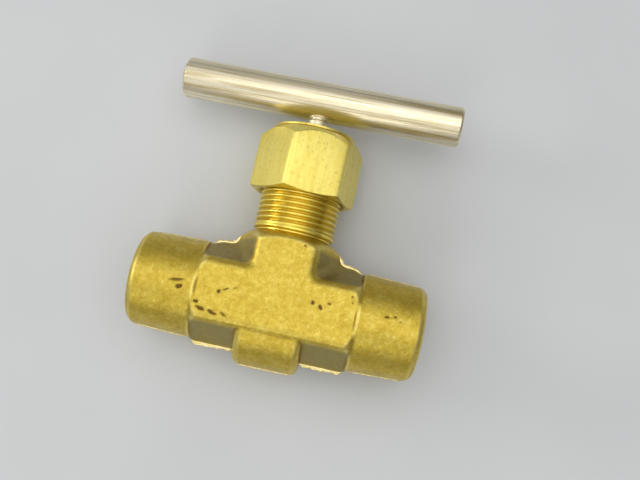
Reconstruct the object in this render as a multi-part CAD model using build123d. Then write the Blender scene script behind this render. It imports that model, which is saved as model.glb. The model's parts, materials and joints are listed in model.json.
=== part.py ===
from build123d import *
import os
from math import radians, sin, sqrt

# Needle valve with a forged globe body, a hexagon packing nut and a cross-bar handle.
#
# The pieces are first made upright: the run (port to port) lies along X, the stem rises along +Z,
# and both axes cross at the origin. The finished valve is then laid on its side: the stem points
# along +Y, +Z is up, and the origin is at the middle of the valve's footprint, on the surface.
# All lengths are millimetres.

INCH = 25.4

# ---- driving dimensions -------------------------------------------------------------------------
# body forging
RUN_HALF = 33.5             # stem axis to either port face
HUB_START = 18.5            # stem axis to the inner end of a round port hub
HUB_RADIUS = 11.4           # at the hub's inner end
HUB_RADIUS_END = 10.9       # at the port end, after the forging draft
HUB_CHAMFER = 1.2
FLAT_REACH = 11.1           # axis to the front or back flat
FLAT_HALF = 6.6             # half the width of that flat
RIDGE = 12.15               # axis to the parting ridge of the forging
FLASH_HALF = 0.25           # trimmed flash left along the ridge
FLASH_HEIGHT = 0.3
HUB_SLOPE = 3.0             # radial height of the 45 degree turned face at each end of the flats
EDGE_ROUND = 0.9            # rounded edges of the flats
BELLY_RADIUS = 10.6         # rounded belly below the seat
BELLY_DROP = 15.05          # run axis to the bottom of the belly
BELLY_HALF = 7.6            # half the belly's length along the run
BELLY_ROUND = 1.2
SHOULDER = 16.4             # run axis to the top of the branch block
SHOULDER_CORNER = 14.4      # height of the block's chamfer at its ridges

# neck and its outer thread, 3/4-20
NECK_RADIUS = 0.75 * INCH / 2
NECK_PITCH = INCH / 20
NECK_THREAD_DEPTH = 0.78
NECK_THREAD_START = 17.5
NECK_THREADS = 16
NECK_UNDERCUT = 8.8
NECK_TOP = 38.5

# female ports for 3/8-18 taper pipe thread, bored straight at the thread's crest radius
PORT_RADIUS = 7.35
PORT_DEPTH = 12.5
PORT_MOUTH = 8.6            # radius of the countersink at the face
PORT_DRILL_TIP = 2.6

# passages through the body
ORIFICE = 2.8
SEAT = -1.0                 # height of the seat's edge
ORIFICE_FLOOR = -8.0
CHAMBER = 4.3
CHAMBER_TOP = 8.5
PASSAGE = 2.6
INLET_END = -6.5            # where the inlet passage meets the stem axis
OUTLET_END = 3.5            # where the outlet passage meets it, above the seat

# stem: its thread sets the lift of one turn
STEM_RADIUS = 3 / 16 * INCH / 2
SPIGOT_RADIUS = 2.0         # reduced end that enters the bar
SPIGOT_START = 45.4
SHOULDER_CONE = 0.5
STEM_THREAD_RADIUS = 4.70
STEM_PITCH = INCH / 24
STEM_THREAD_DEPTH = 0.6
STEM_THREADS = 9
STEM_THREAD_START = 9.6
STEM_FOOT = 4.2
STEM_FOOT_RADIUS = 3.2
RUNNING_GAP = 0.05

# needle tip, swivelling in the stem's foot
TIP_END = -4.6
TIP_END_RADIUS = 1.1
TIP_HEAD = 3.1
TIP_HEAD_TOP = 3.9
TIP_NECK = 0.9
TIP_BALL = 1.4
SOCKET_MOUTH = 1.0
SOCKET_DEPTH = 3.6

# stem packing
PACKING_BORE = 5.6
PACKING_FLOOR = 25.5
PACKING_OUTER = 5.55
WASHER_HEIGHT = 1.0
RING_HEIGHT = 1.9
RING_NAMES = ["packing_ring_lower", "packing_ring_middle", "packing_ring_upper"]
GLAND_FLANGE = 7.6
GLAND_FLANGE_HEIGHT = 1.5

# packing nut, 7/8 across flats
NUT_FLATS = 0.875 * INCH
NUT_TURN = 12.8             # degrees that the nut happens to be turned from square
NUT_BOTTOM = 25.8
NUT_CORNER_TOP = 38.4       # where the 45 degree chamfer meets the hexagon's corners
NUT_RIM = 9.9               # where that chamfer ends
NUT_BOSS = 9.15             # low round boss on top
NUT_GROOVE = 0.3
NUT_TOP = 41.9
NUT_CEILING = 40.5
NUT_STEM_HOLE = 2.6

# handle bar and its set screw
BAR_RADIUS = 4.85
BAR_HALF = 33.9
BAR_HEIGHT = 50.3
BAR_CHAMFER = 0.45
BAR_TURN = -3.2             # degrees between the bar and the run with the valve shut
BAR_HOLE_END = 53.4
SCREW_RADIUS = 1.95
SCREW_LENGTH = 2.3
SCREW_KEY = 2.0             # hexagon socket, across flats
SCREW_KEY_DEPTH = 1.2

# ---- derived places -----------------------------------------------------------------------------
BELLY_AXIS = BELLY_RADIUS - BELLY_DROP
BAR_TOP = BAR_HEIGHT + BAR_RADIUS
NUT_CORNER = NUT_FLATS / sqrt(3)
NUT_LOW_CORNER = NUT_CORNER * sin(radians(60 + NUT_TURN))
MIDDLE = (BAR_TOP - BELLY_DROP) / 2
LAID_DOWN = Location((0, -MIDDLE, NUT_LOW_CORNER), (-90, 0, 0))
WASHER_TOP = PACKING_FLOOR + WASHER_HEIGHT
RINGS_TOP = WASHER_TOP + RING_HEIGHT * len(RING_NAMES)


def turned(points):
    """A solid of revolution about the stem axis, from (radius, height) points."""
    outline = Polyline(*[(radius, 0, height) for radius, height in points], close=True)
    return revolve(make_face(outline), Axis.Z)


def thread_rings(crest, start, count, pitch, depth):
    """Points up the side of an outside thread, cut as rings."""
    land = pitch / 5
    points = []
    for turn in range(count):
        low = start + turn * pitch
        points += [(crest, low), (crest, low + land), (crest - depth, low + (pitch + land) / 2)]
    end = start + count * pitch
    return points + [(crest, end), (crest, end + land)]


def bored(start, end, radius):
    """A straight drilled hole between two points of the XZ plane."""
    along = Vector(end[0] - start[0], 0, end[1] - start[1])
    entry = Plane(origin=(start[0], 0, start[1]), z_dir=along)
    return entry * Cylinder(radius, along.length, align=(Align.CENTER, Align.CENTER, Align.MIN))


def forged_section():
    """Six-sided forging section with rounded flats and trimmed flash on its two parting ridges."""
    slope = (RIDGE - FLAT_HALF) / FLAT_REACH
    flash_foot = RIDGE - slope * FLASH_HALF
    flash_top = RIDGE + FLASH_HEIGHT
    upper = [
        (FLAT_REACH, FLAT_HALF),
        (FLASH_HALF, flash_foot),
        (FLASH_HALF, flash_top),
        (-FLASH_HALF, flash_top),
        (-FLASH_HALF, flash_foot),
        (-FLAT_REACH, FLAT_HALF),
    ]
    lower = [(-x, -y) for x, y in upper]
    face = make_face(Polyline(*upper, *lower, close=True))
    flat_corners = [v for v in face.vertices() if abs(v.X) > FLAT_REACH - 0.01]
    return fillet(flat_corners, EDGE_ROUND)


# ---- valve body ---------------------------------------------------------------------------------
def run_core():
    block = extrude(Plane.YZ * forged_section(), HUB_START, both=True)
    slope_foot = HUB_RADIUS - 0.15
    slope_top = slope_foot + HUB_SLOPE
    slope_end = HUB_START - HUB_SLOPE
    turned_ends = turned([
        (0, -HUB_START), (slope_foot, -HUB_START), (slope_top, -slope_end),
        (slope_top, slope_end), (slope_foot, HUB_START), (0, HUB_START),
    ])
    return block & Rot(0, 90, 0) * turned_ends


def branch_core():
    block = extrude(Rot(0, 0, 90) * forged_section(), SHOULDER)
    cone = turned([
        (0, 0), (RIDGE + 2, 0), (RIDGE + FLASH_HEIGHT, SHOULDER_CORNER),
        (NECK_UNDERCUT, SHOULDER), (0, SHOULDER),
    ])
    return block & cone


def belly():
    drum = Cylinder(BELLY_RADIUS, 2 * BELLY_HALF)
    drum = fillet(drum.edges().filter_by(GeomType.CIRCLE), BELLY_ROUND)
    return Pos(0, 0, BELLY_AXIS) * Rot(0, 90, 0) * drum


def hub():
    return turned([
        (0, HUB_START - 1), (HUB_RADIUS - 1, HUB_START - 1), (HUB_RADIUS, HUB_START),
        (HUB_RADIUS_END, RUN_HALF - HUB_CHAMFER), (HUB_RADIUS_END - HUB_CHAMFER, RUN_HALF), (0, RUN_HALF),
    ])


def neck():
    thread = thread_rings(NECK_RADIUS, NECK_THREAD_START, NECK_THREADS, NECK_PITCH, NECK_THREAD_DEPTH)
    foot = [(0, 0), (NECK_UNDERCUT, 0), (NECK_UNDERCUT, NECK_THREAD_START - 0.4)]
    return turned(foot + thread + [(NECK_UNDERCUT, NECK_TOP), (0, NECK_TOP)])


def port():
    """The space inside one port: the drill's cone, the bore and the countersunk mouth."""
    floor = RUN_HALF - PORT_DEPTH
    mouth_start = RUN_HALF - (PORT_MOUTH - PORT_RADIUS)
    return turned([
        (0, floor - 2), (PORT_DRILL_TIP, floor - 2), (PORT_RADIUS, floor), (PORT_RADIUS, mouth_start),
        (PORT_MOUTH, RUN_HALF), (PORT_MOUTH, RUN_HALF + 1), (0, RUN_HALF + 1),
    ])


def stem_bore():
    stem_thread_bore = STEM_THREAD_RADIUS + RUNNING_GAP
    return turned([
        (0, ORIFICE_FLOOR), (ORIFICE, ORIFICE_FLOOR), (ORIFICE, SEAT), (CHAMBER, SEAT),
        (CHAMBER, CHAMBER_TOP), (stem_thread_bore, CHAMBER_TOP), (stem_thread_bore, PACKING_FLOOR),
        (PACKING_BORE, PACKING_FLOOR), (PACKING_BORE, NECK_TOP + 1), (0, NECK_TOP + 1),
    ])


def valve_body():
    solid = run_core() + branch_core() + belly() + neck()
    for side in (-1, 1):
        solid += Rot(0, 90 * side, 0) * hub()
    for side in (-1, 1):
        solid -= Rot(0, 90 * side, 0) * port()
    solid -= stem_bore()
    port_floor = RUN_HALF - PORT_DEPTH
    solid -= bored((-port_floor, 0), (0, INLET_END), PASSAGE)
    solid -= bored((port_floor, 0), (0, OUTLET_END), PASSAGE)
    return solid


# ---- stem and needle ----------------------------------------------------------------------------
def needle_tip():
    """Cone that shuts the orifice, held by a ball in the stem so that it needn't turn on the seat."""
    ball_middle = STEM_FOOT + SOCKET_DEPTH - TIP_BALL - 0.2
    cone_slope = (ORIFICE - RUNNING_GAP - TIP_END_RADIUS) / (SEAT - TIP_END)
    cone_top = SEAT + (TIP_HEAD - ORIFICE) / cone_slope
    cone = turned([
        (0, TIP_END), (TIP_END_RADIUS, TIP_END), (TIP_HEAD, cone_top), (TIP_HEAD, TIP_HEAD_TOP),
        (TIP_NECK, TIP_HEAD_TOP), (TIP_NECK, ball_middle), (0, ball_middle),
    ])
    return cone + Pos(0, 0, ball_middle) * Sphere(TIP_BALL)


def stem():
    thread = thread_rings(
        STEM_THREAD_RADIUS, STEM_THREAD_START, STEM_THREADS, STEM_PITCH, STEM_THREAD_DEPTH
    )
    thread_end = thread[-1][1]
    socket = [
        (0, STEM_FOOT + SOCKET_DEPTH), (TIP_BALL + RUNNING_GAP, STEM_FOOT + SOCKET_DEPTH),
        (TIP_BALL + RUNNING_GAP, STEM_FOOT + 1), (SOCKET_MOUTH, STEM_FOOT + 0.5), (SOCKET_MOUTH, STEM_FOOT),
    ]
    foot = [(STEM_FOOT_RADIUS, STEM_FOOT), (STEM_FOOT_RADIUS, STEM_THREAD_START - 0.9)]
    spigot_end = BAR_HOLE_END - 0.3
    shank = [
        (STEM_RADIUS, thread_end + 1.5), (STEM_RADIUS, SPIGOT_START - SHOULDER_CONE),
        (SPIGOT_RADIUS, SPIGOT_START), (SPIGOT_RADIUS, spigot_end), (0, spigot_end),
    ]
    return turned(socket + foot + thread + shank)


# ---- packing ------------------------------------------------------------------------------------
def packing_disc(low, height, outer=PACKING_OUTER):
    inner = STEM_RADIUS + RUNNING_GAP
    return turned([(inner, low), (outer, low), (outer, low + height), (inner, low + height)])


def packing_gland():
    """Follower that the nut pushes down on the packing, with a flange above the neck."""
    sleeve = packing_disc(RINGS_TOP, NUT_CEILING - RINGS_TOP)
    return sleeve + packing_disc(NUT_CEILING - GLAND_FLANGE_HEIGHT, GLAND_FLANGE_HEIGHT, GLAND_FLANGE)


def packing_nut():
    prism = extrude(RegularPolygon(NUT_CORNER, 6, rotation=NUT_TURN), NUT_TOP - NUT_BOTTOM)
    rim_foot = NUT_CORNER_TOP + NUT_CORNER - NUT_RIM
    outside = turned([
        (0, NUT_BOTTOM), (NUT_CORNER + 0.1, NUT_BOTTOM), (NUT_CORNER + 0.1, NUT_CORNER_TOP - 0.1),
        (NUT_RIM, rim_foot), (NUT_BOSS - NUT_GROOVE, rim_foot), (NUT_BOSS, rim_foot + 0.15),
        (NUT_BOSS, NUT_TOP - 0.15), (NUT_BOSS - 0.15, NUT_TOP), (0, NUT_TOP),
    ])
    thread_bore = NECK_RADIUS + RUNNING_GAP
    inside = turned([
        (0, NUT_BOTTOM - 1), (thread_bore + 1.5, NUT_BOTTOM - 1), (thread_bore, NUT_BOTTOM + 0.5),
        (thread_bore, NUT_CEILING), (NUT_STEM_HOLE, NUT_CEILING),
        (NUT_STEM_HOLE, NUT_TOP + 1), (0, NUT_TOP + 1),
    ])
    return (Pos(0, 0, NUT_BOTTOM) * prism & outside) - inside


# ---- handle -------------------------------------------------------------------------------------
def across_bar(shape):
    """Lay a shape made along Z on the bar's axis, at the bar's height and turn."""
    return Pos(0, 0, BAR_HEIGHT) * Rot(0, 0, BAR_TURN) * Rot(0, 90, 0) * shape


def behind_stem(shape, distance):
    """Point a shape made along Z away from the stem, square to the bar, at a distance behind it."""
    return Pos(0, 0, BAR_HEIGHT) * Rot(0, 0, BAR_TURN) * Rot(-90, 0, 0) * Pos(0, 0, distance) * shape


def bar_handle():
    rod = Cylinder(BAR_RADIUS, 2 * BAR_HALF)
    rod = chamfer(rod.edges().filter_by(GeomType.CIRCLE), BAR_CHAMFER)
    stem_hole = bored((0, BAR_HEIGHT - BAR_RADIUS - 1), (0, BAR_HOLE_END), SPIGOT_RADIUS + RUNNING_GAP)
    screw_hole = behind_stem(Cylinder(SCREW_RADIUS + RUNNING_GAP, 2 * BAR_RADIUS), BAR_RADIUS)
    return across_bar(rod) - stem_hole - screw_hole


def handle_set_screw():
    grub = chamfer(Cylinder(SCREW_RADIUS, SCREW_LENGTH).edges().filter_by(GeomType.CIRCLE), 0.25)
    key = extrude(RegularPolygon(SCREW_KEY / sqrt(3), 6), SCREW_KEY_DEPTH)
    grub -= Pos(0, 0, SCREW_LENGTH / 2 - SCREW_KEY_DEPTH) * key
    return behind_stem(grub, SPIGOT_RADIUS + RUNNING_GAP + SCREW_LENGTH / 2)


# ---- write one file per piece -------------------------------------------------------------------
pieces = {
    "valve_body": valve_body(),
    "needle_tip": needle_tip(),
    "stem": stem(),
    "lower_packing_washer": packing_disc(PACKING_FLOOR, WASHER_HEIGHT),
    "packing_gland": packing_gland(),
    "packing_nut": packing_nut(),
    "bar_handle": bar_handle(),
    "handle_set_screw": handle_set_screw(),
}
for index, name in enumerate(RING_NAMES):
    pieces[name] = packing_disc(WASHER_TOP + index * RING_HEIGHT, RING_HEIGHT)

os.makedirs("parts", exist_ok=True)
for name, piece in pieces.items():
    export_step(LAID_DOWN * piece, f"parts/{name}.step")
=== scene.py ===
import json
from math import cos, pi, radians, sin, sqrt, tau

import bmesh
import bpy
import numpy as np
from mathutils import Matrix, Vector, noise


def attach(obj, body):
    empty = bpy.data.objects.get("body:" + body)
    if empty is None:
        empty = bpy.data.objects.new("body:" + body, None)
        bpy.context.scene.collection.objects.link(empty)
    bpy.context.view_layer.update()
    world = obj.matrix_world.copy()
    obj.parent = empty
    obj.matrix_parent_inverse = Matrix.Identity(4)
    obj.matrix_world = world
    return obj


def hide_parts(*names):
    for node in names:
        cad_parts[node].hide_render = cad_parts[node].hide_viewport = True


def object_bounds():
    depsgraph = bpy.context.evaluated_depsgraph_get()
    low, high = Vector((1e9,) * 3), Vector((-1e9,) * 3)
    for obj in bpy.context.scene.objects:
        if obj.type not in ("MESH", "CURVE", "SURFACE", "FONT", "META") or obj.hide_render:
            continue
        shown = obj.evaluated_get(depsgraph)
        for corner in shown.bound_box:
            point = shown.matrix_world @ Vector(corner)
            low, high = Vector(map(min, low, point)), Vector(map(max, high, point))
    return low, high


# Looks of a forged brass needle valve. Shapes are made upright, in millimetres, as on the drawing of
# the valve: the run lies along X, the stem along Z, and both axes cross at the origin. LAID_DOWN
# turns them into the frame's metres, where the valve lies on its side with the stem along +Y.

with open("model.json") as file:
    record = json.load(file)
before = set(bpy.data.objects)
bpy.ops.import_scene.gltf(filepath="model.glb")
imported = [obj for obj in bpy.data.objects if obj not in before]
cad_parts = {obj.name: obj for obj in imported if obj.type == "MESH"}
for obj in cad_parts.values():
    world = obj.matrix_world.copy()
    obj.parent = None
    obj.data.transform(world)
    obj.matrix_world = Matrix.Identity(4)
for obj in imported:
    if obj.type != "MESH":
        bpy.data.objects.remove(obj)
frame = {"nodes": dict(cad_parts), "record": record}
cad_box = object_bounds()

# ---- dimensions, millimetres --------------------------------------------------------------------
RUN_HALF = 33.5
HUB_START = 18.5
HUB_RADIUS = 11.4
HUB_RADIUS_END = 10.9
HUB_CHAMFER = 1.2
FLAT_REACH = 11.1
FLAT_HALF = 6.6
RIDGE = 12.15
FLASH_HALF = 0.3
FLASH_HEIGHT = 0.6
FLASH_LOW = 0.28
BELLY_RADIUS = 10.6
BELLY_DROP = 15.05
BELLY_HALF = 7.6
SHOULDER = 16.4
SHOULDER_CORNER = 14.4
SHOULDER_RADIUS = 8.8

NECK_RADIUS = 9.525
NECK_PITCH = 1.27
NECK_THREAD_DEPTH = 0.65
CREST_SHARE = 0.20
ROOT_SHARE = 0.10
NECK_FOOT = 15.6
NECK_RING_LOW = 16.75
NECK_THREAD_START = 17.6
NECK_TOP = 38.5

PORT_PITCH = 25.4 / 18
PORT_THREAD_DEPTH = 0.85
PORT_CREST = 7.5
PORT_TAPER = 1 / 32
PORT_FLOOR = 21.0
PORT_LINING = 8.7
PORT_OVERLAP = 0.15         # how far the thread's sleeve sinks into the body
PORT_MOUTH = 8.95
PORT_MOUTH_DEPTH = 0.4
PORT_CHAMFER = 1.1          # length of the countersink, down to the first full thread

ORIFICE = 2.8
SEAT = -1.0
ORIFICE_FLOOR = -8.0
CHAMBER = 4.3
CHAMBER_TOP = 8.5
STEM_BORE = 4.75
PACKING_BORE = 5.6
PACKING_FLOOR = 25.5
PASSAGE = 2.6
INLET_END = -6.5
OUTLET_END = 3.5

NUT_FLATS = 22.225
NUT_TURN = 12.8
NUT_BOTTOM = 25.8
NUT_CORNER_TOP = 38.4
NUT_CONE_END = 10.2         # where the 45 degree chamfer meets the groove under the rim
NUT_GROOVE = 9.05
NUT_GROOVE_HEIGHT = 0.25
NUT_RIM = 9.75
NUT_TOP = 41.9
NUT_CEILING = 40.5
NUT_BORE = 9.575
NUT_STEM_HOLE = 2.6
NUT_SOFT_CORNER = 0.35
NUT_LOW_CHAMFER = 0.34      # rise over run of the shallow chamfer under the hexagon's corners

BAR_RADIUS = 4.85
BAR_HALF = 33.9
BAR_HEIGHT = 50.3
BAR_CHAMFER = 0.5
BAR_TURN = -3.2
BAR_HOLE_END = 53.4
STEM_HOLE = 2.05
SCREW_HOLE = 2.0

VOXEL = 0.28
EDGE_BLEND = 1.3            # rounding of the flats' edges
CORNER_BLEND = 2.0          # hollow corners between the run and the branch
SHOULDER_BLEND = 0.8
TURNED_BLEND = 0.5          # edges of the turned faces and the hubs' ends
CHAMFER_BLEND = 0.35        # hubs' outer chamfer
BELLY_BLEND = 1.8           # the belly's two ends
BELLY_JOINT = 0.25          # hollow round the belly
HUB_JOINT = 0.4             # hollow at the hubs' inner ends

# ---- places -------------------------------------------------------------------------------------
outlet = next(m for m in frame["record"]["mounts"] if m["name"] == "outlet_port")
AXES_CROSS = Vector((0, outlet["pos_m"][1], outlet["pos_m"][2]))
LAID_DOWN = Matrix.Translation(AXES_CROSS) @ Matrix.Rotation(radians(-90), 4, "X") @ Matrix.Scale(0.001, 4)
BAR_PLACE = Matrix.Translation((0, 0, BAR_HEIGHT)) @ Matrix.Rotation(radians(BAR_TURN), 4, "Z")


def along_run(side):
    """Turns a shape made along +Z so that it points along +X or -X."""
    return Matrix.Rotation(radians(90 * side), 4, "Y")


# ---- mesh tools ---------------------------------------------------------------------------------
def turns(steps):
    return [tau * step / steps for step in range(steps)]


def point_at(radius, angle, height):
    return Vector((radius * cos(angle), radius * sin(angle), height))


def rounded(profile, segments=4):
    """Rounds the corners of a (radius, height, rounding) profile; the two ends stay."""
    points = []
    for index, (radius, height, size) in enumerate(profile):
        corner = Vector((radius, height))
        if size == 0 or index in (0, len(profile) - 1):
            points.append(corner)
            continue
        before = (Vector(profile[index - 1][:2]) - corner).normalized() * size + corner
        after = (Vector(profile[index + 1][:2]) - corner).normalized() * size + corner
        for step in range(segments + 1):
            t = step / segments
            points.append(before * (1 - t) ** 2 + corner * 2 * t * (1 - t) + after * t ** 2)
    return points


def lathe_rings(profile, steps=96):
    return [[point_at(radius, angle, height) for angle in turns(steps)] for radius, height in profile]


def solid(rings, tube=False):
    """A closed mesh through rings of points; a tube joins its last ring to its first."""
    bm = bmesh.new()
    loops = [[bm.verts.new(point) for point in ring] for ring in rings]
    pairs = list(zip(loops, loops[1:]))
    if tube:
        pairs.append((loops[-1], loops[0]))
    else:
        bm.faces.new(loops[0])
        bm.faces.new(loops[-1])
    for low, high in pairs:
        for index in range(len(low)):
            following = (index + 1) % len(low)
            bm.faces.new((low[index], low[following], high[following], high[index]))
    bmesh.ops.recalc_face_normals(bm, faces=bm.faces)
    return bm


def to_object(name, bm, matrix=Matrix.Identity(4)):
    bm.transform(matrix)
    mesh = bpy.data.meshes.new(name)
    bm.to_mesh(mesh)
    bm.free()
    piece = bpy.data.objects.new(name, mesh)
    bpy.context.collection.objects.link(piece)
    return piece


def joined(name, parts):
    """One object from several (bmesh, matrix) parts; the parts may pass through each other."""
    whole = bmesh.new()
    for bm, matrix in parts:
        bm.transform(matrix)
        mesh = bpy.data.meshes.new("part")
        bm.to_mesh(mesh)
        bm.free()
        whole.from_mesh(mesh)
        bpy.data.meshes.remove(mesh)
    return to_object(name, whole)


def apply_modifiers(piece):
    graph = bpy.context.evaluated_depsgraph_get()
    mesh = bpy.data.meshes.new_from_object(piece.evaluated_get(graph))
    piece.modifiers.clear()
    old = piece.data
    piece.data = mesh
    bpy.data.meshes.remove(old)


def cut(piece, cutter):
    """Subtracts the cutter from the piece and removes the cutter."""
    modifier = piece.modifiers.new("cut", "BOOLEAN")
    modifier.object = cutter
    modifier.operation = "DIFFERENCE"
    modifier.solver = "EXACT"
    apply_modifiers(piece)
    bpy.data.objects.remove(cutter)


def bevel(piece, width, segments=3, angle=25):
    modifier = piece.modifiers.new("bevel", "BEVEL")
    modifier.width = width
    modifier.segments = segments
    modifier.limit_method = "ANGLE"
    modifier.angle_limit = radians(angle)
    apply_modifiers(piece)


def shade(piece, sharp_over=35):
    """Smooth shading, with the edges that turn more than the angle left sharp."""
    bm = bmesh.new()
    bm.from_mesh(piece.data)
    for face in bm.faces:
        face.smooth = True
    for edge in bm.edges:
        edge.smooth = not (len(edge.link_faces) == 2 and edge.calc_face_angle() > radians(sharp_over))
    bm.to_mesh(piece.data)
    bm.free()


def finish_piece(piece, body, nodes, material, matrix=LAID_DOWN, sharp_over=35):
    """Moves a finished piece into the frame and says what it is."""
    piece.data.transform(matrix)
    shade(piece, sharp_over)
    piece.data.materials.clear()
    piece.data.materials.append(material)
    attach(piece, body)
    if nodes:
        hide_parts(*nodes)


# ---- material tools -----------------------------------------------------------------------------
class Shader:
    """A material with short ways to add the nodes that its pattern needs."""

    def __init__(self, name, turn=0.0):
        self.turn = turn
        self.material = bpy.data.materials.new(name)
        self.material.use_nodes = True
        self.tree = self.material.node_tree
        self.surface = self.tree.nodes["Principled BSDF"]
        self.place = self.node("ShaderNodeTexCoord").outputs["Object"]

    def node(self, kind, **settings):
        node = self.tree.nodes.new(kind)
        for key, value in settings.items():
            setattr(node, key, value)
        return node

    def link(self, output, socket):
        self.tree.links.new(output, socket)

    def mapped(self, per_mm):
        """Object coordinates, turned with the piece and scaled to cells of the pattern."""
        mapping = self.node("ShaderNodeMapping", vector_type="TEXTURE")
        mapping.inputs["Rotation"].default_value = (0, self.turn, 0)
        mapping.inputs["Scale"].default_value = [0.001 / value for value in per_mm]
        self.link(self.place, mapping.inputs["Vector"])
        return mapping.outputs["Vector"]

    def noise(self, per_mm, detail=3.0, roughness=0.55):
        texture = self.node("ShaderNodeTexNoise")
        texture.inputs["Scale"].default_value = 1.0
        texture.inputs["Detail"].default_value = detail
        texture.inputs["Roughness"].default_value = roughness
        self.link(self.mapped(per_mm), texture.inputs["Vector"])
        return texture.outputs["Fac"]

    def ramp(self, factor, stops):
        ramp = self.node("ShaderNodeValToRGB")
        elements = ramp.color_ramp.elements
        while len(elements) < len(stops):
            elements.new(0.5)
        for element, (position, colour) in zip(elements, stops):
            element.position = position
            element.color = (*colour, 1) if len(colour) == 3 else colour
        self.link(factor, ramp.inputs["Fac"])
        return ramp.outputs["Color"]

    def scaled(self, factor, low, high, from_low=0.3, from_high=0.7):
        remap = self.node("ShaderNodeMapRange")
        remap.inputs["From Min"].default_value = from_low
        remap.inputs["From Max"].default_value = from_high
        remap.inputs["To Min"].default_value = low
        remap.inputs["To Max"].default_value = high
        self.link(factor, remap.inputs["Value"])
        return remap.outputs["Result"]

    def math(self, operation, first, second):
        node = self.node("ShaderNodeMath", operation=operation)
        for socket, value in zip(node.inputs, (first, second)):
            if isinstance(value, (int, float)):
                socket.default_value = value
            else:
                self.link(value, socket)
        return node.outputs["Value"]

    def mix(self, factor, first, second, blend="MIX"):
        node = self.node("ShaderNodeMix", data_type="RGBA", blend_type=blend)
        for socket, value in ((node.inputs[0], factor), (node.inputs[6], first), (node.inputs[7], second)):
            if isinstance(value, (int, float)):
                socket.default_value = value
            elif isinstance(value, tuple):
                socket.default_value = (*value, 1)
            else:
                self.link(value, socket)
        return node.outputs[2]

    def bump(self, height, distance_mm, strength=1.0, under=None):
        node = self.node("ShaderNodeBump")
        node.inputs["Strength"].default_value = strength
        node.inputs["Distance"].default_value = distance_mm / 1000
        self.link(height, node.inputs["Height"])
        if under:
            self.link(under, node.inputs["Normal"])
        return node.outputs["Normal"]

    def edges(self):
        """High on outer edges, low in corners."""
        return self.node("ShaderNodeNewGeometry").outputs["Pointiness"]

    def rounding(self):
        """Curvature stored on the forging's points: high on edges, negative in hollows."""
        return self.node("ShaderNodeAttribute", attribute_name="rounding").outputs["Fac"]

    def slope_shade(self):
        """1 on the forging's sloping sides, which get painted shade."""
        return self.node("ShaderNodeAttribute", attribute_name="slope_shade").outputs["Fac"]

    def sides(self, axis):
        """1 on surfaces that run along the axis, 0 on end faces square to it."""
        dot = self.node("ShaderNodeVectorMath", operation="DOT_PRODUCT")
        dot.inputs[1].default_value = axis
        self.link(self.node("ShaderNodeTexCoord").outputs["Normal"], dot.inputs[0])
        return self.scaled(self.math("ABSOLUTE", dot.outputs["Value"], 0), 1.0, 0.15, 0.80, 0.95)

    def metal(self, colour, roughness, normal):
        self.surface.inputs["Metallic"].default_value = 1.0
        self.link(colour, self.surface.inputs["Base Color"])
        self.link(roughness, self.surface.inputs["Roughness"])
        self.link(normal, self.surface.inputs["Normal"])
        return self.material


# ---- materials ----------------------------------------------------------------------------------
def forged_brass():
    """Blasted and tumbled forging: satin, cloudy and finely speckled, with painted glints, painted shade on
    its sloping sides and in hollows, and edges brighter from wear and painted highlight.
    """
    s = Shader("forged_brass")
    clouds = s.noise((0.35, 0.35, 0.35), detail=6, roughness=0.65)
    grain = s.noise((2.6, 2.6, 2.6), detail=5, roughness=0.65)
    mottle = s.noise((0.9, 0.9, 0.9), detail=6, roughness=0.75)
    fine = s.noise((9, 9, 9), detail=2)
    rings = s.noise((6, 0.05, 0.05), detail=3)
    base = s.ramp(clouds, [
        (0.30, (0.54, 0.385, 0.048)), (0.52, (0.65, 0.49, 0.072)), (0.72, (0.72, 0.575, 0.12)),
    ])
    speckled = s.mix(s.scaled(grain, 0.0, 0.50, 0.50, 0.68), base, (0.44, 0.30, 0.04))
    mottled = s.mix(s.scaled(mottle, 0.0, 0.6, 0.50, 0.70), speckled, (0.48, 0.32, 0.04))
    # Pale flecks: painted glints on the blasted grain.
    fleck_glints = s.mix(s.scaled(mottle, 0.45, 0.0, 0.28, 0.46), mottled, (0.94, 0.82, 0.30))
    # Painted shade: the sloping sides are darkened to a dull olive brown.
    slope_shaded = s.mix(s.math("MULTIPLY", s.slope_shade(), 0.80), fleck_glints, (0.28, 0.235, 0.085))
    # Edges made brighter: wear and painted highlight.
    wear_and_highlight = s.mix(s.scaled(s.rounding(), 0.0, 0.60, 0.35, 0.95), slope_shaded, (0.93, 0.78, 0.25))
    # Painted shade in the hollows and creases.
    shaded = s.mix(s.scaled(s.rounding(), 0.85, 0.0, -0.85, -0.30), wear_and_highlight, (0.33, 0.20, 0.035))
    marks = dent_marks(s)
    marked = s.mix(marks, shaded, (0.22, 0.13, 0.03))
    both = s.math("ADD", s.math("MULTIPLY", mottle, 0.5), s.math("MULTIPLY", grain, 0.5))
    roughness = s.math("ADD", s.scaled(both, 0.30, 0.46, 0.38, 0.62), s.math("MULTIPLY", marks, 0.25))
    normal = s.bump(rings, 0.010, 0.5)
    normal = s.bump(mottle, 0.14, 0.7, normal)
    normal = s.bump(grain, 0.06, 0.7, normal)
    normal = s.bump(fine, 0.02, 0.4, normal)
    return s.metal(marked, roughness, normal)


def trimmed_highlit_brass():
    """Flash sheared off by the trimming press: bright and slightly torn, its pale colour partly a painted
    highlight.
    """
    s = Shader("trimmed_highlit_brass")
    torn = s.noise((1.5, 1.5, 1.5), detail=5, roughness=0.7)
    # Pale cream: bright sheared metal and painted highlight.
    base = s.ramp(torn, [(0.34, (0.70, 0.53, 0.12)), (0.62, (0.98, 0.88, 0.52))])
    return s.metal(base, s.scaled(torn, 0.28, 0.48), s.bump(torn, 0.08, 0.6))


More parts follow.
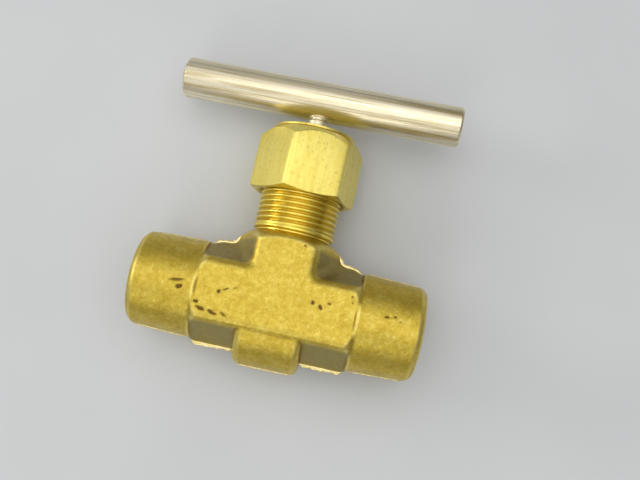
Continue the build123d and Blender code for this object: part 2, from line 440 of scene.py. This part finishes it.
def dent_marks(s):
    """Dirt in the dents: 1 inside each of them on the front half of the valve, 0 elsewhere."""
    ragged = s.math("MULTIPLY", s.math("SUBTRACT", s.noise((1.6, 1.6, 1.6), detail=3), 0.5), 1.6)
    marks = None
    for x, z, half_length, half_width, turn, deep in DENTS:
        place = LAID_DOWN @ Vector((x, -FLAT_REACH, z))
        mapping = s.node("ShaderNodeMapping", vector_type="TEXTURE")
        mapping.inputs["Location"].default_value = place
        mapping.inputs["Rotation"].default_value = (0, 0, radians(turn))
        mapping.inputs["Scale"].default_value = (half_length / 1000, half_width / 1000, 0.003)
        s.link(s.place, mapping.inputs["Vector"])
        away = s.node("ShaderNodeVectorMath", operation="LENGTH")
        s.link(mapping.outputs["Vector"], away.inputs[0])
        inside = s.scaled(s.math("ADD", away.outputs["Value"], ragged), min(1.0, deep * 4), 0.0, 0.65, 1.0)
        marks = inside if marks is None else s.math("MAXIMUM", marks, inside)
    return marks


def drawn_brass():
    """Hexagon bar as drawn: paler, with lengthwise lines and small specks."""
    s = Shader("drawn_brass")
    lines = s.noise((4, 0.08, 4), detail=4)
    specks = s.noise((1.3, 1.1, 1.3), detail=6, roughness=0.7)
    clouds = s.noise((0.7, 0.10, 0.7), detail=5, roughness=0.65)
    base = s.ramp(clouds, [
        (0.34, (0.84, 0.70, 0.16)), (0.50, (0.88, 0.75, 0.19)), (0.66, (0.90, 0.785, 0.22)),
    ])
    lined = s.mix(s.scaled(lines, 0.0, 0.18, 0.45, 0.70), base, (0.62, 0.48, 0.10))
    specked = s.mix(s.scaled(specks, 0.0, 0.9, 0.54, 0.74), lined, (0.58, 0.42, 0.07))
    # Edges made brighter: wear and painted highlight.
    wear_and_highlight = s.mix(s.scaled(s.edges(), 0.0, 0.60, 0.54, 0.62), specked, (1.0, 0.93, 0.54))
    mixed = s.math("ADD", s.math("MULTIPLY", lines, 0.5), s.math("MULTIPLY", specks, 0.5))
    roughness = s.scaled(mixed, 0.28, 0.44, 0.35, 0.65)
    normal = s.bump(lines, 0.010, 0.6)
    normal = s.bump(specks, 0.05, 0.6, normal)
    return s.metal(wear_and_highlight, roughness, normal)


def cut_brass():
    """Threads cut in the forging: cleaner and more golden, with fine tool lines round the axis."""
    s = Shader("cut_brass")
    lines = s.noise((0.3, 14, 0.3), detail=2)
    clouds = s.noise((0.8, 0.8, 0.8), detail=4)
    base = s.ramp(clouds, [(0.30, (0.84, 0.64, 0.08)), (0.70, (0.95, 0.80, 0.16))])
    # Painted shade in the thread roots; wear and painted highlight on the crests.
    root_shaded = s.mix(s.scaled(s.edges(), 0.85, 0.0, 0.42, 0.52), base, (0.40, 0.21, 0.015))
    wear_and_highlight = s.mix(s.scaled(s.edges(), 0.0, 0.8, 0.52, 0.60), root_shaded, (1.0, 0.90, 0.42))
    roughness = s.scaled(lines, 0.26, 0.40)
    return s.metal(wear_and_highlight, roughness, s.bump(lines, 0.006, 0.6))


def drawn_steel():
    """Bright drawn bar with lengthwise lines and faint straw-coloured stains."""
    s = Shader("drawn_steel", turn=radians(BAR_TURN))
    lines = s.noise((0.012, 1.3, 1.3), detail=6, roughness=0.78)
    scratches = s.noise((0.15, 14, 14), detail=2)
    clouds = s.noise((0.12, 0.4, 0.4), detail=4)
    base = s.ramp(clouds, [(0.30, (0.82, 0.73, 0.50)), (0.70, (0.92, 0.85, 0.65))])
    sides = s.sides((cos(s.turn), 0, -sin(s.turn)))
    dark = s.math("MULTIPLY", s.scaled(lines, 0.0, 0.9, 0.50, 0.59), sides)
    bright = s.math("MULTIPLY", s.scaled(lines, 0.8, 0.0, 0.38, 0.47), sides)
    lined = s.mix(dark, base, (0.43, 0.34, 0.16))
    brightened = s.mix(bright, lined, (1.0, 0.96, 0.84))
    # Edges made brighter: wear and painted highlight on the chamfers.
    wear_and_highlight = s.mix(s.scaled(s.edges(), 0.0, 0.8, 0.52, 0.60), brightened, (1.0, 0.97, 0.88))
    roughness = s.scaled(lines, 0.24, 0.44, 0.38, 0.62)
    normal = s.bump(s.math("MULTIPLY", lines, sides), 0.05, 0.7)
    normal = s.bump(scratches, 0.005, 0.5, normal)
    return s.metal(wear_and_highlight, roughness, normal)


def turned_steel():
    """Stem and needle: fine rings from the lathe."""
    s = Shader("turned_steel")
    rings = s.noise((0.2, 12, 0.2), detail=3)
    clouds = s.noise((0.6, 0.6, 0.6), detail=3)
    base = s.ramp(clouds, [(0.30, (0.80, 0.73, 0.54)), (0.70, (0.88, 0.82, 0.64))])
    return s.metal(base, s.scaled(rings, 0.34, 0.50), s.bump(rings, 0.008, 0.6))


def black_oxide():
    s = Shader("black_oxide")
    grain = s.noise((5, 5, 5), detail=4)
    base = s.ramp(grain, [(0.35, (0.020, 0.020, 0.022)), (0.70, (0.060, 0.058, 0.055))])
    return s.metal(base, s.scaled(grain, 0.35, 0.55), s.bump(grain, 0.01, 0.5))


def packing_white():
    s = Shader("packing_white")
    clouds = s.noise((1.5, 1.5, 1.5), detail=3)
    colour = s.ramp(clouds, [(0.30, (0.78, 0.77, 0.73)), (0.70, (0.88, 0.87, 0.84))])
    s.link(colour, s.surface.inputs["Base Color"])
    s.link(s.scaled(clouds, 0.45, 0.60), s.surface.inputs["Roughness"])
    s.link(s.bump(clouds, 0.02, 0.4), s.surface.inputs["Normal"])
    return s.material


def pale_floor():
    s = Shader("pale_floor")
    clouds = s.noise((0.02, 0.02, 0.02), detail=2)
    colour = s.ramp(clouds, [(0.30, (0.64, 0.665, 0.70)), (0.70, (0.67, 0.695, 0.73))])
    s.link(colour, s.surface.inputs["Base Color"])
    s.surface.inputs["Roughness"].default_value = 0.85
    return s.material


# ---- forged body --------------------------------------------------------------------------------
def forged_reach(flat_share, ridge_share):
    """Distance from the axis to the forging's six-sided section, in a direction with those shares."""
    slope = (RIDGE - FLAT_HALF) / FLAT_REACH
    to_flat = FLAT_REACH / max(abs(flat_share), 1e-6)
    to_slope = RIDGE / (abs(ridge_share) + slope * abs(flat_share))
    return min(to_flat, to_slope)


def section_ring(height, steps=144):
    return [point_at(forged_reach(sin(a), cos(a)), a, height) for a in turns(steps)]


def block_rings(steps=144):
    """The branch block: the forging section with a shallow cone on top."""
    fall = (SHOULDER - SHOULDER_CORNER) / (RIDGE - SHOULDER_RADIUS)
    edge = []
    for angle in turns(steps):
        reach = forged_reach(sin(angle), cos(angle))
        edge.append(point_at(reach, angle, SHOULDER_CORNER + (RIDGE - reach) * fall))
    rim = [point_at(SHOULDER_RADIUS, angle, SHOULDER) for angle in turns(steps)]
    return [section_ring(0, steps), edge, rim]


def hub_rings():
    return lathe_rings(rounded([
        (HUB_RADIUS - 1, HUB_START - 1, 0),
        (HUB_RADIUS, HUB_START, 0.25),
        (HUB_RADIUS_END, RUN_HALF - HUB_CHAMFER, 0.4),
        (HUB_RADIUS_END - HUB_CHAMFER, RUN_HALF, 0.3),
        (HUB_RADIUS_END - 2.2, RUN_HALF, 0),
    ]))


def belly_rings():
    return lathe_rings(rounded([
        (BELLY_RADIUS - 2, -BELLY_HALF, 0),
        (BELLY_RADIUS, -BELLY_HALF, 1.2),
        (BELLY_RADIUS, BELLY_HALF, 1.2),
        (BELLY_RADIUS - 2, BELLY_HALF, 0),
    ]))


def smooth_max(first, second, blend):
    """The larger of two distances, with the edge between them rounded over the blend."""
    near = np.maximum(blend - np.abs(first - second), 0) / blend
    return np.maximum(first, second) + near * near * blend / 4


def smooth_min(first, second, blend):
    return -smooth_max(-first, -second, blend)


def slope_distance(across, ridgeward):
    slope = (RIDGE - FLAT_HALF) / FLAT_REACH
    return (across * slope + ridgeward - RIDGE) / sqrt(1 + slope * slope)


def forging_distance(places):
    """Distance from the forging's surface, negative inside, with every edge and corner blended."""
    along, across, up = np.abs(places[:, 0]), np.abs(places[:, 1]), places[:, 2]
    from_run = np.hypot(across, up)
    fall = (SHOULDER - SHOULDER_CORNER) / (RIDGE - SHOULDER_RADIUS)
    top = (up - SHOULDER + (np.hypot(along, across) - SHOULDER_RADIUS) * fall) / sqrt(1 + fall * fall)
    branch = np.maximum(slope_distance(across, along), -up)
    block = smooth_min(slope_distance(across, np.abs(up)), branch, CORNER_BLEND)
    block = smooth_max(block, across - FLAT_REACH, EDGE_BLEND)
    block = smooth_max(block, top, SHOULDER_BLEND)
    turned_face = (from_run + along - HUB_RADIUS - HUB_START) / sqrt(2)
    block = smooth_max(block, turned_face, TURNED_BLEND)

    drum = np.hypot(across, up - BELLY_RADIUS + BELLY_DROP) - BELLY_RADIUS
    drum = smooth_max(drum, along - BELLY_HALF, BELLY_BLEND)

    draft = (HUB_RADIUS - HUB_RADIUS_END) / (RUN_HALF - HUB_CHAMFER - HUB_START)
    side = from_run - HUB_RADIUS + draft * (along - HUB_START)
    slanted = (from_run - HUB_RADIUS_END + along - RUN_HALF + HUB_CHAMFER) / sqrt(2)
    hub = smooth_max(smooth_max(side, slanted, CHAMFER_BLEND), along - RUN_HALF, TURNED_BLEND)
    hub = smooth_max(hub, HUB_START - 0.25 - along, TURNED_BLEND)

    return smooth_min(smooth_min(block, drum, BELLY_JOINT), hub, HUB_JOINT)


def settle(places, rounds=4, axes=(0, 1, 2), step=0.01):
    """Moves points onto the forging's blended surface, along the given axes only."""
    for _ in range(rounds):
        slope = np.zeros_like(places)
        for axis in axes:
            nudge = np.zeros(3)
            nudge[axis] = step
            rise = forging_distance(places + nudge) - forging_distance(places - nudge)
            slope[:, axis] = rise / (2 * step)
        length = np.maximum((slope * slope).sum(axis=1), 0.25)
        move = slope * (forging_distance(places) / length)[:, None]
        places = places - np.clip(move, -0.6, 0.6)
    return places


def forging():
    low_axis = Matrix.Translation((0, 0, BELLY_RADIUS - BELLY_DROP))
    parts = [
        (solid([section_ring(-HUB_START), section_ring(HUB_START)]), along_run(1)),
        (solid(block_rings()), Matrix.Identity(4)),
        (solid(belly_rings()), low_axis @ along_run(1)),
    ]
    parts += [(solid(hub_rings()), along_run(side)) for side in (-1, 1)]
    piece = joined("forged_body", parts)
    remesh = piece.modifiers.new("remesh", "REMESH")
    remesh.mode = "VOXEL"
    remesh.voxel_size = VOXEL
    soften = piece.modifiers.new("soften", "SMOOTH")
    soften.factor = 0.5
    soften.iterations = 2
    apply_modifiers(piece)
    return piece


def weather(piece):
    """Blends the forging, then gives it broad waviness, orange peel and shallow dents."""
    count = len(piece.data.vertices)
    places = np.empty(count * 3)
    piece.data.vertices.foreach_get("co", places)
    places = settle(places.reshape(count, 3))
    piece.data.vertices.foreach_set("co", places.ravel())
    piece.data.update()
    moved = []
    for vertex in piece.data.vertices:
        place = vertex.co
        wave = noise.noise(place * 0.16) * 0.05 + noise.noise(place * 0.75) * 0.016
        moved.append(place + vertex.normal * (wave - dent_depth(place)))
    for vertex, place in zip(piece.data.vertices, moved):
        vertex.co = place


# dents on the front: x, z, half length, half width, turn in degrees, depth
DENTS = [
    (-22.3, 0.55, 1.8, 0.38, 12, 0.22),
    (-21.5, -0.85, 0.9, 0.50, 10, 0.30),
    (-12.6, -0.1, 0.5, 0.45, 0, 0.28),
    (-11.2, 0.7, 0.9, 0.22, 30, 0.18),
    (-9.2, 1.35, 0.8, 0.22, 12, 0.14),
    (-17.1, -3.2, 0.6, 0.45, 0, 0.26),
    (-15.9, -4.5, 1.3, 0.52, -8, 0.26),
    (-13.2, -4.9, 1.3, 0.48, -14, 0.24),
    (-10.6, -4.9, 1.1, 0.38, -30, 0.20),
    (8.2, 1.7, 0.55, 0.42, -60, 0.26),
    (10.0, 1.1, 0.75, 0.38, -60, 0.26),
    (11.8, 2.25, 0.5, 0.25, 10, 0.20),
    (16.5, 4.8, 0.35, 0.28, 0, 0.18),
    (16.8, 3.5, 0.35, 0.25, 0, 0.16),
    (24.9, 2.15, 0.8, 0.30, 10, 0.20),
    (26.6, 2.5, 0.4, 0.28, 0, 0.20),
    (27.9, 1.6, 0.4, 0.25, 0, 0.12),
    (3.9, 13.8, 0.4, 0.35, 0, 0.18),
]


def dent_depth(place):
    if place.y > -8:
        return 0.0
    depth = 0.0
    for x, z, half_length, half_width, turn, deep in DENTS:
        away_x, away_z = place.x - x, place.z - z
        if abs(away_x) > 3 or abs(away_z) > 3:
            continue
        along = (away_x * cos(radians(turn)) + away_z * sin(radians(turn))) / half_length
        across = (away_z * cos(radians(turn)) - away_x * sin(radians(turn))) / half_width
        depth += deep * max(0.0, 1 - along * along - across * across) ** 0.5
    return depth


def traced(corners, spacing=0.35):
    """Points of the forging's outline in the parting plane, near a line through (x, z) corners."""
    seeds = []
    for start, end in zip(corners, corners[1:]):
        count = max(1, round((Vector(end) - Vector(start)).length / spacing))
        seeds += [Vector(start).lerp(Vector(end), step / count) for step in range(count)]
    seeds.append(Vector(corners[-1]))
    settled = settle(np.array([(seed.x, 0.0, seed.y) for seed in seeds]), rounds=10, axes=(0, 2))
    return [Vector((float(x), float(z))) for x, _, z in settled]


def store_rounding(piece, reach=0.45):
    """Keeps the blended surface's curvature on the mesh, for wear and painted highlight on edges and
    painted shade in hollows, and a mask of the sloping sides for their painted shade.
    """
    places = np.empty(len(piece.data.vertices) * 3)
    piece.data.vertices.foreach_get("co", places)
    places = places.reshape(-1, 3)
    total = -6 * forging_distance(places)
    for axis in range(3):
        for way in (-reach, reach):
            nudge = np.zeros(3)
            nudge[axis] = way
            total += forging_distance(places + nudge)
    along, across, up = np.abs(places[:, 0]), np.abs(places[:, 1]), places[:, 2]
    slope_shade = np.clip((FLAT_REACH - 0.9 - across) / 1.2, 0, 1) * np.clip((HUB_START - along) / 0.3, 0, 1)
    slope_shade *= np.clip((SHOULDER_CORNER - 0.5 - up) / 1.0, 0, 1) * ~((along < BELLY_HALF) & (up < 0))
    for name, values in (("rounding", total / reach ** 2), ("slope_shade", slope_shade)):
        attribute = piece.data.attributes.new(name, "FLOAT", "POINT")
        attribute.data.foreach_set("value", values.astype(np.float32))


def flash_bead(corners, height):
    """Trimmed flash: a thin uneven bead that runs clockwise round the outline."""
    path = traced(corners)
    rings = []
    for index, foot in enumerate(path):
        ahead = (path[min(index + 1, len(path) - 1)] - path[max(index - 1, 0)]).normalized()
        out = Vector((-ahead.y, ahead.x))
        uneven = noise.noise(Vector((foot.x, 0, foot.y)) * 0.8)
        ends = min(index, len(path) - 1 - index, 3) / 3
        proud = height * (1 + 0.6 * uneven) * ends
        half = FLASH_HALF * (1 + 0.4 * uneven)
        ring = []
        for angle in turns(12):
            rise = foot + out * sin(angle) * (proud if sin(angle) > 0 else 0.6)
            ring.append(Vector((rise.x, half * cos(angle), rise.y)))
        rings.append(ring)
    return solid(rings)


def parting_flash(material):
    run_end = HUB_START - 0.4
    beads = [
        ([(-run_end, RIDGE), (-RIDGE, RIDGE), (-RIDGE, SHOULDER_CORNER)], FLASH_HEIGHT),
        ([(RIDGE, SHOULDER_CORNER), (RIDGE, RIDGE), (run_end, RIDGE)], FLASH_HEIGHT),
        ([(run_end, -RIDGE), (BELLY_HALF, -RIDGE)], FLASH_HEIGHT),
        ([(-BELLY_HALF, -RIDGE), (-run_end, -RIDGE)], FLASH_HEIGHT),
        ([(BELLY_HALF - 1, -BELLY_DROP), (1 - BELLY_HALF, -BELLY_DROP)], FLASH_LOW),
    ]
    hub_ends = (HUB_START + 0.5, HUB_RADIUS), (RUN_HALF - HUB_CHAMFER - 0.5, HUB_RADIUS_END)
    for x_turn, z_turn in ((1, 1), (1, -1), (-1, -1), (-1, 1)):
        ends = [(x * x_turn, z * z_turn) for x, z in hub_ends]
        beads.append((ends if x_turn == z_turn else ends[::-1], FLASH_LOW))
    piece = joined("parting_flash", [(flash_bead(*bead), Matrix.Identity(4)) for bead in beads])
    finish_piece(piece, "valve", [], material)


def port_cutter():
    return lathe_rings([
        (0.02, PORT_FLOOR - 2), (PASSAGE, PORT_FLOOR - 2), (PORT_CREST - 0.3, PORT_FLOOR),
        (PORT_LINING - PORT_OVERLAP, PORT_FLOOR), (PORT_LINING - PORT_OVERLAP, RUN_HALF - PORT_MOUTH_DEPTH),
        (PORT_MOUTH, RUN_HALF), (PORT_MOUTH + 0.6, RUN_HALF + 0.6),
    ])


def bore_cutter():
    return lathe_rings([
        (ORIFICE, ORIFICE_FLOOR), (ORIFICE, SEAT), (CHAMBER, SEAT), (CHAMBER, CHAMBER_TOP),
        (STEM_BORE, CHAMBER_TOP), (STEM_BORE, PACKING_FLOOR),
    ], steps=64)


def passage_cutter(start_x, end_z):
    """A drilled passage from a port's floor to the stem axis."""
    start = Vector((start_x, 0, 0))
    along = Vector((0, 0, end_z)) - start
    turn = along.to_track_quat("Z", "Y").to_matrix().to_4x4()
    tube = solid(lathe_rings([(PASSAGE, 0), (PASSAGE, along.length)], steps=48))
    tube.transform(Matrix.Translation(start) @ turn)
    return tube


def forged_body(material):
    piece = forging()
    weather(piece)
    for side in (-1, 1):
        cut(piece, to_object("port_cutter", solid(port_cutter()), along_run(side)))
    cut(piece, to_object("bore_cutter", solid(bore_cutter())))
    cut(piece, to_object("inlet_cutter", passage_cutter(-PORT_FLOOR, INLET_END)))
    cut(piece, to_object("outlet_cutter", passage_cutter(PORT_FLOOR, OUTLET_END)))
    store_rounding(piece)
    finish_piece(piece, "valve", ["valve_body"], material)


# ---- threads ------------------------------------------------------------------------------------
def thread_depth(angle, height, pitch):
    """Share of the full depth, 0 at a crest and 1 at a root, of a right-handed 60 degree thread."""
    phase = (height / pitch - angle / tau) % 1.0
    rise = min(max((abs(2 * phase - 1) - CREST_SHARE) / (1 - CREST_SHARE - ROOT_SHARE), 0.0), 1.0)
    return rise * rise * (3 - 2 * rise)


def fade(value, start, end):
    t = min(max((value - start) / (end - start), 0.0), 1.0)
    return t * t * (3 - 2 * t)


def neck_thread(material):
    steps = 120
    rows = round((NECK_TOP - NECK_THREAD_START) / NECK_PITCH * 14)
    rings = lathe_rings(rounded([
        (SHOULDER_RADIUS, NECK_FOOT, 0),
        (SHOULDER_RADIUS, NECK_RING_LOW, 0.1),
        (NECK_RADIUS + 0.05, NECK_RING_LOW + 0.25, 0.15),
        (NECK_RADIUS + 0.05, NECK_THREAD_START - 0.15, 0),
    ]), steps)
    for row in range(rows + 1):
        height = NECK_THREAD_START + (NECK_TOP - NECK_THREAD_START) * row / rows
        run_in = fade(height, NECK_THREAD_START, NECK_THREAD_START + 0.6)
        chamfer = max(0.0, height - NECK_TOP + 0.8) * 0.8
        ring = []
        for angle in turns(steps):
            depth = NECK_THREAD_DEPTH * thread_depth(angle, height, NECK_PITCH) * run_in
            ring.append(point_at(NECK_RADIUS - max(depth, chamfer), angle, height))
        rings.append(ring)
    inside = [
        (PACKING_BORE, NECK_TOP), (PACKING_BORE, PACKING_FLOOR),
        (STEM_BORE, PACKING_FLOOR), (STEM_BORE, NECK_FOOT),
    ]
    rings += lathe_rings(inside, steps)
    piece = to_object("neck_thread", solid(rings, tube=True))
    finish_piece(piece, "valve", [], material, sharp_over=60)


def port_thread(name, side, material):
    steps = 120
    mouth_end = RUN_HALF - PORT_MOUTH_DEPTH
    crest_end = mouth_end - PORT_CHAMFER
    rows = round((crest_end - PORT_FLOOR) / PORT_PITCH * 14)
    outside = [(PORT_LINING, PORT_FLOOR), (PORT_LINING, mouth_end), (PORT_LINING - PORT_OVERLAP, mouth_end)]
    rings = lathe_rings(outside, steps)
    for row in range(rows + 1):
        height = crest_end - (crest_end - PORT_FLOOR) * row / rows
        crest = PORT_CREST + (height - crest_end) * PORT_TAPER
        run_out = fade(height, PORT_FLOOR + 0.5, PORT_FLOOR + 2.0)
        ring = []
        for angle in turns(steps):
            depth = PORT_THREAD_DEPTH * thread_depth(angle, height, PORT_PITCH) * run_out
            ring.append(point_at(crest + depth, angle, height))
        rings.append(ring)
    piece = to_object(name, solid(rings, tube=True), along_run(side))
    finish_piece(piece, "valve", [], material, sharp_over=60)


# ---- packing nut --------------------------------------------------------------------------------
def nut_reach(angle):
    """Distance from the axis to the hexagon, with its corners a little rounded."""
    sixth = (angle - radians(NUT_TURN)) % (pi / 3)
    near = NUT_FLATS / 2 / cos(sixth - pi / 6)
    other = NUT_FLATS / 2 / cos(min(sixth, pi / 3 - sixth) + pi / 6)
    close = max(NUT_SOFT_CORNER - abs(other - near), 0) / NUT_SOFT_CORNER
    return min(near, other) - close * close * NUT_SOFT_CORNER / 4


def packing_nut(material):
    angles = [radians(NUT_TURN) + angle for angle in turns(6 * 24)]
    corner = NUT_FLATS / sqrt(3)
    cone_end = NUT_CORNER_TOP + corner - NUT_CONE_END
    groove_top = cone_end + NUT_GROOVE_HEIGHT

    def circle(radius, height):
        return [point_at(radius, angle, height) for angle in angles]

    low_rim = NUT_FLATS / 2 - 0.15      # the low chamfer just reaches the middles of the flats
    hexagon_bottom = [
        point_at(nut_reach(a), a, NUT_BOTTOM + (nut_reach(a) - low_rim) * NUT_LOW_CHAMFER) for a in angles
    ]
    hexagon_top = [point_at(nut_reach(a), a, NUT_CORNER_TOP + corner - nut_reach(a)) for a in angles]
    rings = [
        circle(NUT_BORE + 0.8, NUT_BOTTOM), circle(low_rim, NUT_BOTTOM), hexagon_bottom, hexagon_top,
        circle(NUT_CONE_END, cone_end), circle(NUT_GROOVE, cone_end + 0.05),
        circle(NUT_GROOVE, groove_top), circle(NUT_RIM, groove_top + 0.05), circle(NUT_RIM, NUT_TOP),
        circle(NUT_STEM_HOLE + 0.2, NUT_TOP),
        circle(NUT_STEM_HOLE, NUT_TOP - 0.2), circle(NUT_STEM_HOLE, NUT_CEILING),
        circle(NUT_BORE, NUT_CEILING), circle(NUT_BORE, NUT_BOTTOM + 0.8),
    ]
    piece = to_object("hexagon_nut", solid(rings, tube=True))
    bevel(piece, 0.08)
    finish_piece(piece, "valve", ["packing_nut"], material, sharp_over=40)


# ---- handle bar ---------------------------------------------------------------------------------
def handle_bar(material):
    end = rounded([
        (BAR_RADIUS - 1.5, BAR_HALF, 0),
        (BAR_RADIUS - BAR_CHAMFER, BAR_HALF, 0.15),
        (BAR_RADIUS, BAR_HALF - BAR_CHAMFER, 0.15),
        (BAR_RADIUS, 0, 0),
    ])
    profile = [(radius, height) for radius, height in end]
    profile += [(radius, -height) for radius, height in reversed(end[:-1])]
    piece = to_object("handle_bar", solid(lathe_rings(profile, 128)), BAR_PLACE @ along_run(1))
    hole = lathe_rings([(STEM_HOLE, BAR_HEIGHT - BAR_RADIUS - 1), (STEM_HOLE, BAR_HOLE_END)], 64)
    cut(piece, to_object("stem_hole", solid(hole)))
    screw = lathe_rings([(SCREW_HOLE, 0), (SCREW_HOLE, BAR_RADIUS + 1)], 48)
    cut(piece, to_object("screw_hole", solid(screw), BAR_PLACE @ Matrix.Rotation(radians(-90), 4, "X")))
    finish_piece(piece, "handle", ["bar_handle"], material)


# ---- pieces kept from the frame -----------------------------------------------------------------
def dress_nodes(materials):
    """Gives the frame's own pieces their materials."""
    for name, material in materials.items():
        node = frame["nodes"][name]
        node.data.materials.clear()
        node.data.materials.append(material)


# ---- surroundings -------------------------------------------------------------------------------
def lay_floor():
    bm = bmesh.new()
    bmesh.ops.create_grid(bm, x_segments=8, y_segments=8, size=1.5)
    ground = to_object("floor", bm, Matrix.Translation((0, 0, cad_box[0][2] - 0.0001)))
    ground.data.materials.append(pale_floor())


def soft_light(name, place, aim, size, power, colour=(1, 1, 1)):
    light = bpy.data.lights.new(name, "AREA")
    light.shape = "DISK"
    light.size = size
    light.energy = power
    light.color = colour
    lamp = bpy.data.objects.new(name, light)
    lamp.location = place
    lamp.rotation_euler = (Vector(aim) - Vector(place)).to_track_quat("-Z", "Y").to_euler()
    bpy.context.collection.objects.link(lamp)


SKY_TOWARD = (-0.20, 0.0, 0.98)     # the sky's brightest part
SKY_STRENGTH = (0.12, 0.85)         # square to that direction, and towards it


def set_lights():
    middle = (0, 0, 0.012)
    soft_light("overhead", (0.03, 0.06, 0.60), middle, 0.70, 0.82, (1.0, 0.985, 0.95))
    soft_light("left_window", (-0.60, 0.06, 0.26), middle, 0.30, 0.90, (1.0, 0.98, 0.94))
    soft_light("front_window", (-0.08, -0.50, 0.38), middle, 0.24, 0.34, (1.0, 0.98, 0.94))
    world = bpy.data.worlds.new("studio")
    world.use_nodes = True
    nodes, links = world.node_tree.nodes, world.node_tree.links
    toward = nodes.new("ShaderNodeVectorMath")
    toward.operation = "DOT_PRODUCT"
    toward.inputs[1].default_value = SKY_TOWARD
    dome = nodes.new("ShaderNodeMapRange")
    dome.inputs["From Min"].default_value = 0.0
    dome.inputs["From Max"].default_value = 1.0
    dome.inputs["To Min"].default_value, dome.inputs["To Max"].default_value = SKY_STRENGTH
    links.new(nodes.new("ShaderNodeTexCoord").outputs["Generated"], toward.inputs[0])
    links.new(toward.outputs["Value"], dome.inputs["Value"])
    links.new(dome.outputs["Result"], nodes["Background"].inputs["Strength"])
    nodes["Background"].inputs["Color"].default_value = (1.0, 0.98, 0.94, 1)
    bpy.context.scene.world = world
    bpy.context.scene.view_settings.view_transform = "Standard"


CAMERA_PLACE = Vector((0.01206, -0.02781, 0.19515))
CAMERA_TILT = (7.768, 1.744, 11.961)    # degrees: about X, Y and Z, from looking straight down
CAMERA_LENS = 43.94


def set_camera():
    camera = bpy.data.cameras.new("camera")
    camera.lens = CAMERA_LENS
    camera.sensor_width = 36.0
    camera.clip_start = 0.01
    eye = bpy.data.objects.new("camera", camera)
    about_x, about_y, about_z = [radians(angle) for angle in CAMERA_TILT]
    turn = Matrix.Rotation(about_x, 4, "X") @ Matrix.Rotation(about_y, 4, "Y")
    turn = turn @ Matrix.Rotation(about_z, 4, "Z")
    eye.matrix_world = Matrix.Translation(CAMERA_PLACE) @ turn
    bpy.context.collection.objects.link(eye)
    bpy.context.scene.camera = eye


# ---- build --------------------------------------------------------------------------------------
steel = turned_steel()
golden = cut_brass()
pale = drawn_brass()
white = packing_white()
forged_body(forged_brass())
parting_flash(trimmed_highlit_brass())
neck_thread(golden)
port_thread("inlet_thread", -1, golden)
port_thread("outlet_thread", 1, golden)
packing_nut(pale)
handle_bar(drawn_steel())
dress_nodes({
    "stem": steel,
    "needle_tip": steel,
    "handle_set_screw": black_oxide(),
    "packing_gland": pale,
    "lower_packing_washer": pale,
    "packing_ring_lower": white,
    "packing_ring_middle": white,
    "packing_ring_upper": white,
})
lay_floor()
set_lights()
set_camera()
